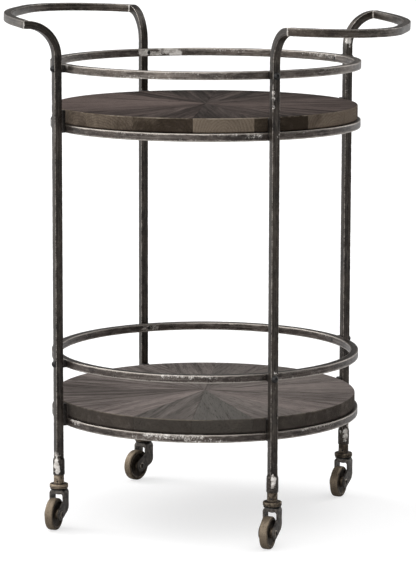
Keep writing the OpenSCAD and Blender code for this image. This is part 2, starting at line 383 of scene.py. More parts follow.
class Graph:
    """The nodes of a material or a world, with short names for what they do."""

    def __init__(self, owner):
        self.owner = owner
        owner.use_nodes = True
        self.tree = owner.node_tree

    def put(self, socket, value):
        if isinstance(value, bpy.types.NodeSocket):
            self.tree.links.new(value, socket)
        elif isinstance(value, tuple) and len(value) == 3 and len(socket.default_value) == 4:
            socket.default_value = (*value, 1)
        else:
            socket.default_value = value

    def node(self, kind, inputs, **options):
        """Adds a node, fills its inputs and returns its outputs."""
        node = self.tree.nodes.new("ShaderNode" + kind)
        for option, value in options.items():
            setattr(node, option, value)
        for socket, value in inputs.items():
            self.put(node.inputs[socket], value)
        return node.outputs

    def attribute(self, name, output="Fac"):
        return self.node("Attribute", {}, attribute_name=name)[output]

    def place(self, output="Object"):
        return self.node("TexCoord", {})[output]

    def seen(self):
        """1 for what the camera sees itself, 0 for the light that it gives."""
        return self.node("LightPath", {})["Is Camera Ray"]

    def math(self, operation, a, b=0.0):
        return self.node("Math", {0: a, 1: b}, operation=operation)[0]

    def times(self, a, b):
        return self.math("MULTIPLY", a, b)

    def plus(self, a, b):
        return self.math("ADD", a, b)

    def vector(self, operation, a, b):
        outputs = self.node("VectorMath", {0: a, 1: b}, operation=operation)
        return outputs["Value" if operation in ("LENGTH", "DOT_PRODUCT") else "Vector"]

    def noise(self, vector, scale, detail=4.0, roughness=0.55, distortion=0.0, output="Fac"):
        return self.node("TexNoise", {"Vector": vector, "Scale": scale, "Detail": detail,
                                      "Roughness": roughness, "Distortion": distortion})[output]

    def grain(self, flow, stretch, detail, roughness):
        """Noise drawn out along a bar or a board."""
        return self.noise(self.vector("MULTIPLY", flow, stretch), 1, detail, roughness)

    def between(self, value, low, high, first=0.0, last=1.0):
        """first below low, last above high."""
        return self.node("MapRange", {"Value": value, "From Min": low, "From Max": high, "To Min": first,
                                      "To Max": last}, interpolation_type="SMOOTHSTEP")["Result"]

    def mix(self, share, a, b):
        return self.node("Mix", {"Factor": share, 6: a, 7: b}, data_type="RGBA")[2]

    def blend(self, share, a, b):
        """Mixes two numbers."""
        return self.node("Mix", {0: share, 2: a, 3: b})[0]

    def bump(self, height, distance, strength=1.0, under=None):
        inputs = {"Height": height, "Distance": distance, "Strength": strength}
        return self.node("Bump", {**inputs, "Normal": under} if under else inputs)[0]

    def finish(self, **sockets):
        for name, value in sockets.items():
            self.put(self.tree.nodes["Principled BSDF"].inputs[name.replace("_", " ")], value)
        return self.owner


def iron(name, black, brown, steel, wear, polish=0.0):
    """Blackened bar: clouded, drawn lines along it, edges lightened partly by wear and partly as a painted
    highlight, and bright patches from the spot lists, ground metal and in places painted highlight.
    """
    g = Graph(bpy.data.materials.new(name))
    here, flow = g.place(), g.attribute("flow", "Vector")
    edge, bare = g.attribute("edge"), g.attribute("bare")
    cloud = g.noise(here, 26, 5, 0.6)
    mottle = g.grain(flow, (70, 190, 190), 5, 0.65)
    speck = g.noise(here, 480, 5, 0.65)
    drawn = g.grain(flow, (12, 380, 380), 4, 0.6)
    tint = g.mix(g.between(cloud, 0.36, 0.64), black, brown)
    tint = g.mix(g.times(g.between(mottle, 0.46, 0.70), 0.36), tint, steel)
    tint = g.mix(g.times(g.between(drawn, 0.46, 0.68), 0.34), tint, steel)
    tint = g.mix(g.times(g.between(speck, 0.54, 0.70), 0.40), tint, steel)
    rubbed = g.plus(g.times(mottle, 0.5), g.times(speck, 0.5))
    # worn: the bar's edges lightened, partly real wear and partly a painted highlight along the edges
    worn = g.between(g.plus(g.times(edge, 0.40 * wear), rubbed), 0.76, 1.0)
    ragged = g.plus(g.times(g.noise(here, 170, 5, 0.75, 0.4), 1.1), g.times(speck, 0.9))
    ground = g.between(g.plus(bare, ragged), 1.38, 1.62)
    colour = g.mix(worn, tint, (0.48, 0.435, 0.39))
    bare_steel = g.mix(g.between(mottle, 0.35, 0.62), (0.50, 0.455, 0.41), (0.95, 0.91, 0.86))
    colour = g.mix(ground, colour, bare_steel)
    bright = g.math("MAXIMUM", worn, ground)
    rough = g.blend(mottle, 0.24 - polish, 0.46 - polish)
    rough = g.blend(g.times(speck, 0.4), rough, 0.56)
    rough = g.blend(bright, rough, g.blend(ground, 0.34, 0.52))
    height = g.plus(g.times(cloud, 0.6), g.times(drawn, 0.25))
    normal = g.bump(height, 0.0009)
    normal = g.bump(g.plus(g.times(mottle, 0.8), g.times(ground, 0.4)), 0.0004, 1.0, normal)
    normal = g.bump(speck, 0.00016, 1.0, normal)
    metal = g.blend(ground, g.blend(worn, 0.85, 1.0), 0.34)
    return g.finish(Base_Color=colour, Metallic=metal, Roughness=rough, Normal=normal, Coat_Weight=0.35,
                    Coat_Roughness=0.22)


def brass(name, dark, middle, light, roughness=0.42):
    """Aged brass: brown-black in the hollows, rubbed tan where it is handled; the same tan also paints the
    highlight ring on the axle rivet heads.
    """
    g = Graph(bpy.data.materials.new(name))
    here, edge, tone = g.place(), g.attribute("edge"), g.attribute("tone")
    cloud = g.noise(here, 110, 5, 0.65)
    speck = g.noise(here, 650, 4, 0.6)
    colour = g.mix(g.between(cloud, 0.38, 0.66), dark, middle)
    rub = g.plus(g.times(tone, 0.42), g.times(edge, 0.16))
    uneven = g.plus(g.times(g.noise(here, 190, 4, 0.6), 0.7), g.times(speck, 0.3))
    rub = g.between(g.plus(rub, uneven), 0.62, 0.98)
    colour = g.mix(rub, colour, light)
    colour = g.mix(g.times(g.between(speck, 0.54, 0.68), 0.7), colour, dark)
    rough = g.blend(speck, roughness - 0.08, roughness + 0.22)
    normal = g.bump(cloud, 0.0007)
    normal = g.bump(speck, 0.00020, 1.0, normal)
    return g.finish(Base_Color=colour, Metallic=0.8, Roughness=rough, Normal=normal)


def wood(name, dark, light, grey, brown, tan, figure, rim):
    """Weathered boards. flow is (along, across, up) from each board's own heart, so faces and ends agree."""
    g = Graph(bpy.data.materials.new(name))
    flow, tone, edge = g.attribute("flow", "Vector"), g.attribute("tone"), g.attribute("edge")
    film, end = g.attribute("bare"), g.attribute("end")
    sway = g.noise(g.vector("MULTIPLY", flow, (5.5, 14, 14)), 1, 3, 0.5, 0.0, "Color")
    sway = g.vector("MULTIPLY", g.vector("SUBTRACT", sway, (0.5, 0.5, 0.5)), (0, 0.022, 0.022))
    heart = g.vector("MULTIPLY", g.vector("ADD", flow, sway), (0, 1, 1))
    away = g.vector("LENGTH", heart, (0, 0, 0))
    ripple = g.times(g.grain(flow, (30, 260, 260), 3, 0.6), 0.9)
    ring = g.math("FRACT", g.plus(g.times(away, 210), ripple))
    late = g.between(ring, 0.40, 0.97)
    streak = g.grain(flow, (3.6, 120, 120), 4, 0.74)
    broad = g.grain(flow, (2.4, 56, 56), 3, 0.6)
    fibre = g.grain(flow, (9, 460, 460), 5, 0.7)
    patch = g.noise(flow, 19, 5, 0.66)
    pore = g.between(g.grain(flow, (40, 1500, 1500), 2, 0.5), 0.58, 0.68)
    value = g.plus(g.times(streak, 0.46), g.times(fibre, 0.20))
    value = g.plus(value, g.times(broad, 0.34))
    value = g.plus(value, g.times(g.math("SUBTRACT", tone, 0.3), 0.45))
    colour = g.mix(g.between(value, 0.39, 0.61), dark, light)
    colour = g.mix(g.times(late, figure), colour, dark)
    colour = g.mix(g.times(film, g.between(streak, 0.16, 0.50)), colour, grey)
    aged = g.plus(g.times(patch, 1.2), g.times(g.math("SUBTRACT", tone, 0.3), 0.7))
    aged = g.mix(g.between(aged, 0.42, 1.02), brown, tan)
    colour = g.mix(g.times(end, 0.75), colour, aged)
    colour = g.mix(g.times(g.times(end, late), 0.24), colour, dark)
    colour = g.mix(g.times(pore, 0.8), colour, (0.008, 0.007, 0.006))
    # the eased top edge of the rim, and faintly the seams, are lightened: partly rubbed wear, partly a
    # painted highlight along the rim's top edge; rim sets how much
    handled = g.plus(g.noise(g.place(), 7, 3, 0.55), g.times(g.noise(flow, 90, 4, 0.65), 0.5))
    rubbed = g.between(g.plus(g.times(edge, 0.45), handled), 1.10, 1.36)
    colour = g.mix(g.times(rubbed, rim), colour, (0.34, 0.29, 0.23))
    rough = g.blend(fibre, 0.66, 0.88)
    height = g.math("SUBTRACT", g.times(fibre, 0.8), g.times(late, 0.35))
    normal = g.bump(height, 0.0007)
    normal = g.bump(g.math("SUBTRACT", 0.0, pore), 0.00035, 1.0, normal)
    return g.finish(Base_Color=colour, Roughness=rough, Normal=normal, Specular_IOR_Level=0.03)


# wear, the number after the three colours, sets how far the edges are lightened: partly wear, partly a
# painted edge highlight, strongest on the rings
IRON = iron("blackened_iron", (0.021, 0.0175, 0.015), (0.050, 0.039, 0.031), (0.19, 0.165, 0.14), 1.0)
RING_IRON = iron("rubbed_and_edge_lit_iron", (0.058, 0.048, 0.041), (0.132, 0.108, 0.090), (0.44, 0.39, 0.345), 1.8)
LEDGE_IRON = iron("ledge_iron", (0.034, 0.027, 0.0235), (0.082, 0.065, 0.056), (0.32, 0.28, 0.25), 2.0)
HANDLE_IRON = iron("handled_iron", (0.030, 0.024, 0.0195), (0.078, 0.061, 0.048), (0.30, 0.26, 0.22), 1.2)
# near-black copy of the iron for the blocks in the gap between leg and ring: painted shade of that gap
GAP_SHADE_IRON = iron("gap_shade_weld_block_iron", (0.016, 0.014, 0.013), (0.030, 0.026, 0.023), (0.09, 0.085, 0.08), 0.5)
SCREW = iron("screw_iron", (0.012, 0.011, 0.011), (0.020, 0.019, 0.018), (0.07, 0.07, 0.07), 0.2, 0.12)
BRASS = brass("aged_brass", (0.038, 0.029, 0.022), (0.112, 0.088, 0.066), (0.42, 0.34, 0.25))
FORK_METAL = brass("dark_brass", (0.052, 0.047, 0.043), (0.130, 0.118, 0.106), (0.27, 0.24, 0.21), 0.42)
RIVET_METAL = brass("rivet_brass", (0.024, 0.021, 0.018), (0.066, 0.057, 0.048), (0.38, 0.34, 0.29), 0.30)
WHEEL = brass("wheel_brass", (0.030, 0.022, 0.016), (0.080, 0.061, 0.042), (0.245, 0.196, 0.142), 0.46)
# rim, the last number of each wood, is how strongly the rim's top edge is lightened, partly wear and partly
# painted highlight
WOOD = {
    "upper": wood("dark_weathered_wood", (0.024, 0.018, 0.016), (0.148, 0.114, 0.103), (0.040, 0.037, 0.034),
                  (0.048, 0.035, 0.023), (0.255, 0.203, 0.150), 0.12, 0.8),
    "lower": wood("weathered_wood", (0.060, 0.047, 0.043), (0.345, 0.288, 0.268), (0.135, 0.129, 0.118),
                  (0.052, 0.044, 0.036), (0.128, 0.106, 0.086), 0.16, 0.35)}


# ---- rings ----

def on_ring(z):
    def place(run, u, v):
        return polar(RING_R + u, run / RING_R, z + v)
    return place


SPOT_STEP, SPOT_R = 7, 11  # mm between the spots of a bare place on a ring, and their radius


def ring_spots(level, places):
    """Bright places on a ring, ground metal and on the fronts partly painted highlight: (degrees, half
    length, out and up from the bar's middle, strength).
    """
    spots = []
    for degrees, half, out, up, strength in places:
        steps = max(1, round(half / SPOT_STEP))
        for step in range(-steps, steps + 1):
            angle = radians(degrees) + step / steps * half / RING_R
            spots.append((polar(RING_R + out, angle, level + up), SPOT_R, strength))
    return spots


# the long spots on the rings' outer fronts near their top and bottom edges (out 6, between -100 and -20
# degrees) are partly ground metal and partly painted highlights along those edges
RING_BARE_AND_HIGHLIGHT = {
    "guard_ring_upper": [
        (135.6, 5, -6, 0, .74), (130.5, 7, -6, -2, .62), (127, 7, -6, 3, .56), (124, 7, -6, 3, .8),
        (122, 5, -6, -3, .95), (52, 26, -6, 3, .46), (100, 24, -6, 5, .42), (62, 20, -6, 5, .36),
        (-133, 10, 5, 5, .5), (-92, 40, 6, -6, .40), (-75, 40, 6, 5, .34), (-20, 20, 6, 4, .34)],
    "support_ring_upper": [
        (-53, 9, 6, 3, .5), (-64, 20, 6, 7, .44), (-98, 44, 6, 7, .34), (-28, 40, 6, 7, .36),
        (-80, 30, 6, -6, .30)],
    "guard_ring_lower": [
        (133.4, 13, -6, 0, .45), (-76, 40, 6, 5, .44), (30, 22, 5, 6, .36), (-88, 30, 6, -6, .3),
        (52, 12, -5, 6, .4)],
    "support_ring_lower": [
        (-126, 9, 6, 5, .55), (-82, 46, 6, 4, .52), (-70, 30, 6, -4, .42), (-24, 36, 6, 6, .42),
        (-92, 24, 6, -2, .34)],
}

for level in LEVELS:
    for kind, heights in (("guard_ring_", GUARD_Z), ("support_ring_", SUPPORT_Z)):
        material = RING_IRON if kind + level == "guard_ring_upper" else LEDGE_IRON
        shape = Shape()
        sweep(shape, on_ring(heights[level]), FULL_TURN * RING_R, closed=True,
              spots=ring_spots(heights[level], RING_BARE_AND_HIGHLIGHT[kind + level]))
        shape.build(kind + level + "_bar", material, "frame", "iron", kind + level)


# ---- legs and handles ----

front_end = unit(LEG_ANGLE["fr"]) * HANDLE_END_R
rear_end = unit(LEG_ANGLE["br"]) * HANDLE_END_R
leave_front = (CORNER_FRONT - front_end).normalized()
leave_rear = (CORNER_REAR - rear_end).normalized()
HALF_TURN = spun(pi, "Z")


def mitre(end, leave, turned):
    """The upright plane between a leg and a handle; its normal points to the handle."""
    point, across = Vector((end.x, end.y, HANDLE_Z)), (end.normalized() + leave).normalized()
    normal = Vector((across.x, across.y, 0))
    return (HALF_TURN @ point, HALF_TURN @ normal) if turned else (point, normal)


MITRES = {"fr": mitre(front_end, leave_front, False), "br": mitre(rear_end, leave_rear, False),
          "bl": mitre(front_end, leave_front, True), "fl": mitre(rear_end, leave_rear, True)}
LEG_TRACK = Track([(LEG_R, LEG_FOOT_Z), (LEG_R, HANDLE_Z), (HANDLE_END_R, HANDLE_Z)], [LEG_BEND_R])
HANDLE_TRACK = Track([front_end, CORNER_FRONT, CORNER_REAR, rear_end], [CORNER_FRONT_R, CORNER_REAR_R])


def on_leg(angle):
    outwards, sideways = polar(1, angle), polar(1, angle + pi / 2)

    def place(run, u, v):
        at, heading = LEG_TRACK.at(run)
        at = at + right_of(heading) * u
        return outwards * at.x + Vector((0, 0, at.y)) + sideways * v
    return place


def on_handle(turned):
    lean = -HANDLE_LEAN if turned else HANDLE_LEAN
    hinge = Vector((front_end.x, 0, HANDLE_Z))
    tilt = Matrix.Translation(hinge) @ spun(lean, "Y") @ Matrix.Translation(-hinge)
    matrix = HALF_TURN @ tilt if turned else tilt

    def place(run, u, v):
        at, heading = HANDLE_TRACK.at(run)
        at = at + right_of(heading) * u
        return matrix @ Vector((at.x, at.y, HANDLE_Z + v))
    return place


def leg_spot(corner, out, side, z, radius, strength):
    """A bright place on a leg (ground metal, and on the fr leg's front edge a painted highlight): how far out
    and sideways from its middle, and its height.
    """
    angle = LEG_ANGLE[corner]
    return (polar(LEG_R + out, angle, z) + polar(side, angle + pi / 2), radius, strength)


LEG_BARE_AND_HIGHLIGHT = {
    "fr": [
        # the fr leg's spots down its outer front edge (out 6, sideways -6, from 739 to 708 and at 640) paint
        # the bright highlight line along that edge
        (6, -6, 739, 8, .5), (6, -6, 730, 8, .62), (6, -6, 720, 8, .6), (6, -6, 708, 8, .44),
        (6, 2, 282, 9, .5), (6, 0, 108, 14, .75), (6, -3, 260, 10, .3), (6, 6, 660, 14, .34),
        (6, -6, 640, 18, .3), (6, 6, 560, 16, .26)],
    "br": [
        (-2, -6, 785, 11, .78), (2, -6, 775, 8, .5), (-3, -6, 700, 18, .3), (-6, -2, 640, 20, .3),
        (6, -4, 118, 12, .7), (0, -6, 130, 12, .5)],
    "bl": [
        (-6, 0, 755, 12, .4), (-6, 4, 600, 20, .26)],
    "fl": [
        (6, -6, 700, 12, .46), (6, -6, 684, 9, .5), (6, -6, 652, 9, .44), (6, -5, 628, 12, .4),
        (6, -6, 570, 14, .4), (6, 2, 120, 14, .6), (6, -6, 240, 16, .34), (6, -6, 180, 14, .34)],
}

for corner in CORNERS:
    shape = Shape()
    sweep(shape, on_leg(LEG_ANGLE[corner]), LEG_TRACK.length, end_plane=MITRES[corner],
          spots=[leg_spot(corner, *spot) for spot in LEG_BARE_AND_HIGHLIGHT[corner]])
    shape.build(f"leg_{corner}_bar", IRON, "frame", "iron", "leg_" + corner)

MITRE_DRESSED = {"fr": .2, "br": .55, "bl": .35, "fl": .6}  # how bright each mitre's weld was ground
DRESSED_IN, DRESSED_R, DRESSED_LIFTS = 9, 14, (-5, 5)

for side, first, last in (("right", "fr", "br"), ("left", "bl", "fl")):
    shape = Shape()
    dressed = []
    for corner in (first, last):
        point, normal = MITRES[corner]
        inwards = -normal if corner in ("br", "fl") else normal
        dressed += [(point + inwards * DRESSED_IN + Vector((0, 0, lift)), DRESSED_R, MITRE_DRESSED[corner])
                    for lift in DRESSED_LIFTS]
    sweep(shape, on_handle(side == "left"), HANDLE_TRACK.length, start_plane=MITRES[first],
          end_plane=MITRES[last], spots=dressed)
    shape.build(f"handle_{side}_bar", HANDLE_IRON, "frame", "iron", "handle_" + side)


# ---- spacers, blocks and screws ----

BITE = 0.5  # blocks reach a little into the uneven bars
BLOCK_W, BLOCK_EASE = BAR - .6, 1.3
BLOCK_H = mm_box("support_blocks")[1].z - (SUPPORT_Z["upper"] - HALF)
BLOCK_D, BLOCK_R = LEG_IN - RING_OUT + 2 * BITE, (RING_OUT + LEG_IN) / 2
SMALL_SEGMENTS, HEAD_SEGMENTS = 24, 40
spacers, blocks, screws = Shape(), Shape(), Shape()
for corner in CORNERS:
    angle = LEG_ANGLE[corner]
    turn = spun(angle, "Z")
    for level in LEVELS:
        rounded_block(spacers, (BLOCK_D, BLOCK_W, BLOCK_W), BLOCK_EASE,
                      Matrix.Translation(polar(BLOCK_R, angle, GUARD_Z[level])) @ turn)
        rounded_block(blocks, (BLOCK_D, BLOCK_W, BLOCK_H), BLOCK_EASE,
                      Matrix.Translation(polar(BLOCK_R, angle, SUPPORT_Z[level] - HALF + BLOCK_H / 2)) @ turn)
        outwards = radial_matrix(angle, 0, GUARD_Z[level])
        lathe(screws, [(0, RING_IN), (2.5, RING_IN), (2.5, LEG_OUT)], outwards, SMALL_SEGMENTS)
        lathe(screws, [(5.5, LEG_OUT - .4), (5.8, LEG_OUT + .3), (5.75, LEG_OUT + .8)]
              + dome(5.55, 3.9, 9, LEG_OUT + .9), outwards, HEAD_SEGMENTS, edge=.3)
        lathe(screws, [(3.1, RING_IN + .6), (3.1, RING_IN + .1), (2.6, RING_IN - .05), (1.6, RING_IN + .05),
                       (0, RING_IN + .1)], outwards, SMALL_SEGMENTS)
# the spacers and support blocks take the near-black iron, painted shade of the gap they sit in
spacers.build("guard_spacer_blocks", GAP_SHADE_IRON, "frame", "weld_block", "guard_spacers")
blocks.build("support_block_set", GAP_SHADE_IRON, "frame", "weld_block", "support_blocks")
screws.build("ring_screw_set", SCREW, "frame", "screw", "ring_screws")


# ---- shelves ----

# one board after another from the first seam: (tone, grey film, heart across, heart below the top, rim tone)
BOARD_LOOKS = {
    "upper": [
        (.31, .20, 9, 60, .74), (.30, .25, -14, 34, .3), (.29, .25, 22, 80, .3), (.25, .35, -30, 46, .3),
        (.22, .50, 5, 28, .3), (.23, .50, 30, 70, .3), (.29, .25, -8, 40, .3), (.42, .15, -24, 90, .4),
        (.49, .10, 12, 30, .4), (.47, .10, -6, 55, .5), (.40, .15, 26, 44, .48), (.31, .20, -18, 62, .36),
        (.27, .30, 10, 36, .20), (.25, .50, 2, 26, .94), (.23, .35, -22, 70, .06),
        (.29, .25, 16, 50, .70)],
    "lower": [
        (.34, .40, -12, 40, .3), (.42, .35, 20, 30, .3), (.34, .45, -26, 70, .3), (.36, .55, 8, 34, .3),
        (.32, .60, -16, 60, .3), (.38, .50, 28, 44, .3), (.34, .40, -4, 28, .3), (.32, .35, 18, 66, .3),
        (.28, .25, -10, 32, .2), (.24, .30, 24, 52, .2), (.30, .30, -20, 38, .1), (.42, .25, 6, 30, .1),
        (.30, .60, -14, 58, .05), (.28, .90, 30, 74, .05), (.38, .55, -2, 24, .05),
        (.46, .30, 14, 46, .15)],
}
BOARD_COLUMNS = (0, .22, .6, 1.3, 4)  # mm from a seam; the rest of the board is shared out between
BOARD_MIDDLE, MIDDLE_INSET = 5, 9  # columns there, and the mm from a seam that they count as
TOP_ROWS = 36
SEAM_EASE, SEAM_EASE_W = 0.3, 1.3
RIM_EASE = 1.5
TIP_R, TIP_FADE_R = 1.2, 60  # nearer the tip than this, wear and eased seams fade out
TOP_LAYER = 4  # mm above the underside; only what is higher wears
BOARD_WEAR, WEAR_ALONG, WEAR_ACROSS = 0.28, .012, .07  # depth, and how fast it changes
BOARD_WARP, WARP_SHARE = 0.35, .12


def board_profile(low, high):
    """A board's outline as (radius, height, how much it is rim), from the tip out and back underneath."""
    top = [(TIP_R + (SHELF_R - RIM_EASE - TIP_R) * step / TOP_ROWS, high, 0) for step in range(TOP_ROWS + 1)]
    turns = [radians(degrees) for degrees in (22, 45, 68, 90)]
    eased = [(SHELF_R - RIM_EASE * (1 - sin(a)), high - RIM_EASE * (1 - cos(a)), 1) for a in turns]
    face = [(SHELF_R, high + (low - high) * share, .05) for share in (.1, .3, .5, .7, .9)]
    foot = [(SHELF_R, low + 2.6, .2), (SHELF_R - .6, low + 1.3, .2), (SHELF_R - 1.5, low + .4, .1),
            (SHELF_R - 2.8, low, .1)]
    return top + eased + face + foot + [(radius, low, 0) for radius in (220, 150, 80, 20, TIP_R)]


def board(shape, shelf_low, shelf_high, index, look):
    """One wedge: a closed profile carried across from seam to seam."""
    tone, film, heart_across, heart_down, rim_tone = look
    half = pi / BOARDS
    axis = -SEAM_ANGLE + (2 * index + 1) * half
    profile = board_profile(shelf_low, shelf_high)
    points, flow, edge, end, tones = [], [], [], [], []
    seed = 97.0 * index + shelf_low
    warp = BOARD_WARP * noise.noise(Vector((seed, 3.3, 1.7)))
    columns = len(BOARD_COLUMNS) * 2 + BOARD_MIDDLE
    for radius, z, rim in profile:
        widest = half - asin(min(.999, SEAM_GAP / 2 / radius / cos(half)))
        sides = [(widest - min(inset / radius, widest * .45), inset) for inset in BOARD_COLUMNS]
        inner = sides[-1][0]
        middle = [(inner * (1 - 2 * (step + 1) / (BOARD_MIDDLE + 1)), MIDDLE_INSET)
                  for step in range(BOARD_MIDDLE)]
        worn, at_end = z > shelf_low + TOP_LAYER, radius > SHELF_R - RIM_EASE * .6
        fade = min(1.0, radius / TIP_FADE_R)
        for offset, inset in sides + middle + [(-angle, inset) for angle, inset in reversed(sides)]:
            near = max(0.0, 1 - inset / SEAM_EASE_W)
            wear = BOARD_WEAR * unevenness(Vector((radius * WEAR_ALONG, offset * radius * WEAR_ACROSS, seed)))
            slope = WARP_SHARE * warp * sin(offset / half * 1.5)
            lowered = z - (SEAM_EASE * near * near * fade + wear + abs(slope)) * fade if worn else z
            pulled = radius - (wear * .8 if rim else 0)
            pulled -= SEAM_EASE * .7 * near * near if rim else 0
            points.append(polar(pulled, axis + offset, lowered))
            flow.append(Vector((pulled * cos(offset) + seed * 3,
                                pulled * sin(offset) - heart_across,
                                lowered - shelf_high + heart_down)))
            edge.append(rim if rim > .5 else .12 * near if worn else 0)
            end.append(1.0 if at_end else 0.0)
            tones.append(rim_tone if at_end else tone)
    faces = grid_faces(len(profile), columns, True, False)
    faces += [[row * columns + column for row in range(len(profile))] for column in (0, columns - 1)]
    shape.add(points, faces, flow, edge=edge, bare=film, tone=tones, end=end)


for level in LEVELS:
    shelf_low, shelf_high = (corner.z for corner in mm_box("shelf_" + level))
    shape = Shape()
    for index in range(BOARDS):
        board(shape, shelf_low, shelf_high, index, BOARD_LOOKS[level][index])
    shape.build(f"shelf_{level}_boards", WOOD[level], "frame", "wood", "shelf_" + level, smooth=50)


# ---- leg feet ----

WELD_HALF, WELD_POWER = HALF - .18, 9


def weld_reach(angle):
    """How far the rounded square of the weld round a leg reaches at an angle."""
    return WELD_HALF / (abs(cos(angle)) ** WELD_POWER + abs(sin(angle)) ** WELD_POWER) ** (1 / WELD_POWER)


FERRULE_R, FERRULE_SEGMENTS, SPOT_SPREAD = 10, 56, 1.25
WELD_LOW_Z, WELD_TOP_Z = 112, 123
SLEEVE_INSET = .3  # how much less than its nominal radius the uneven sleeve is turned to
DENT_DEPTH, DENT_SCALE = .35, .28
MARK_DEPTH, MARK_SCALE, SLEEVE_SHARE = .14, .7, .3  # fine marks, weaker under the weld
# (height, radius, how square), from the bottom up to the weld round the leg
FERRULE_ROWS = [
    (FERRULE_Z - .02, 9.0, 0), (FERRULE_Z + .1, 9.7, 0), (FERRULE_Z + .6, 10, 0),
    *[(z, 10, 0) for z in range(91, 107, 3)], (109, 9.95, 0), (111.5, 9.9, 0), (113.2, 9.7, 0),
    (114.6, 9.4, 0), (116, 8.9, .12), (117.4, 8.4, .32), (118.8, 7.9, .55), (120.2, 7.4, .78),
    (121.6, 6.9, .92), (WELD_TOP_Z, 6.7, 1)]
# degrees round the leg, height, radius, strength
FERRULE_BARE = {
    "fr": [
        (-66, 117, 5, .7), (-58, 111, 7, .85), (-62, 104, 6, .8), (-70, 99, 5, .7), (-56, 97, 4, .5),
        (-96, 119, 4, .6)],
    "br": [
        (-52, 112, 7, .80), (-50, 104, 7, .8), (-56, 97, 5, .55), (-110, 112, 6, .4)],
    "bl": [
        (-100, 106, 6, .5)],
    "fl": [
        (-100, 119, 4, .7), (-96, 113, 5, .85), (-90, 107, 6, .9), (-84, 101, 6, .95), (-80, 95, 6, .95),
        (-118, 103, 5, .7), (-122, 95, 4, .5)],
}


def ferrule(corner):
    shape = Shape()
    centre, leg_turn = LEG_XY[corner], LEG_ANGLE[corner]
    spots = [(Vector((centre.x, centre.y, z)) + polar(FERRULE_R, radians(degrees)), SPOT_SPREAD * radius,
              strength) for degrees, z, radius, strength in FERRULE_BARE[corner]]
    points, bare = [], []
    for z, radius, squared in FERRULE_ROWS:
        middle = Vector((centre.x, centre.y, z))
        for step in range(FERRULE_SEGMENTS):
            angle = FULL_TURN * step / FERRULE_SEGMENTS
            reach = radius * (1 - squared) + weld_reach(angle) * squared
            at = middle + polar(reach, angle + leg_turn)
            dent = DENT_DEPTH if z > FERRULE_Z + 1 else 0
            mark = MARK_DEPTH * (1 if z > WELD_LOW_Z else SLEEVE_SHARE)
            if squared < .9:
                reach += (noise.noise(at * DENT_SCALE) * dent + noise.noise(at * MARK_SCALE) * mark
                          - SLEEVE_INSET)
            place = middle + polar(reach, angle + leg_turn)
            points.append(place)
            bare.append(bareness(place, spots))
    faces = grid_faces(len(FERRULE_ROWS), FERRULE_SEGMENTS, False, True)
    faces += [list(range(FERRULE_SEGMENTS)), list(range(len(points) - FERRULE_SEGMENTS, len(points)))]
    shape.add(points, faces, edge=.2, bare=bare)
    shape.build(f"ferrule_{corner}_sleeve", IRON, "frame", "iron", "ferrule_" + corner)


COLLAR_R, COLLAR_TOP_Z, NECK_R = 15.4, 73.5, 8.6
SPIGOT_R, SPIGOT_TOP_Z = 7, 95.5
SOCKET_PROFILE = [
    (5.3, SOCKET_Z), (COLLAR_R - 1.5, SOCKET_Z), (COLLAR_R - .5, SOCKET_Z + .3),
    (COLLAR_R - .05, SOCKET_Z + 1), (COLLAR_R, SOCKET_Z + 2.6), (COLLAR_R - .35, SOCKET_Z + 3.1),
    (COLLAR_R - .35, SOCKET_Z + 3.5), (COLLAR_R, SOCKET_Z + 4), (COLLAR_R - .05, COLLAR_TOP_Z - 1.3),
    (COLLAR_R - .5, COLLAR_TOP_Z - .5), (COLLAR_R - 1.4, COLLAR_TOP_Z - .1), (11, COLLAR_TOP_Z),
    (9.9, COLLAR_TOP_Z + .1), (9.1, COLLAR_TOP_Z + .7), (NECK_R + .1, COLLAR_TOP_Z + 2),
    (NECK_R, COLLAR_TOP_Z + 6), (NECK_R, FERRULE_Z - 2.6), (NECK_R - .3, FERRULE_Z - 2.2),
    (NECK_R - .3, FERRULE_Z - 1.8), (NECK_R, FERRULE_Z - 1.4), (NECK_R, FERRULE_Z),
    (SPIGOT_R, FERRULE_Z + .1), (SPIGOT_R, SPIGOT_TOP_Z)]
SOCKET_SEGMENTS = 64
SET_SCREW_Z, SET_SCREW_ANGLE = 78, radians(-85)
NECK_RUB = {"fr": .5, "br": .35, "bl": .4, "fl": .8}  # how far each neck and collar is rubbed bright
set_screws = Shape()
for corner in CORNERS:
    ferrule(corner)
    upright = Matrix.Translation((LEG_XY[corner].x, LEG_XY[corner].y, 0))
    shape = Shape()
    # the groove under the collar and the hidden spigot are never rubbed
    reaches = [0.0 if 1.5 < height - SOCKET_Z < 3 or height > FERRULE_Z else
               1.0 if radius > COLLAR_R - 1.6 else .8 if height > COLLAR_TOP_Z + 1 else .1
               for radius, height in SOCKET_PROFILE]
    lathe(shape, SOCKET_PROFILE, upright, SOCKET_SEGMENTS, .16, edge=.25,
          tone=[value * NECK_RUB[corner] for value in reaches for _ in range(SOCKET_SEGMENTS)])
    shape.build(f"socket_{corner}_neck", BRASS, "frame", "brass", "socket_" + corner)
    outwards = upright @ radial_matrix(SET_SCREW_ANGLE, 0, SET_SCREW_Z)
    lathe(set_screws, [(0, 4.6), (1.5, 4.6), (1.55, 8.55), (1.3, 8.72), (.8, 8.72), (.7, 8.62), (0, 8.6)],
          outwards, SMALL_SEGMENTS)
set_screws.build("set_screw_set", SCREW, "frame", "screw", "set_screws")


# ---- casters ----

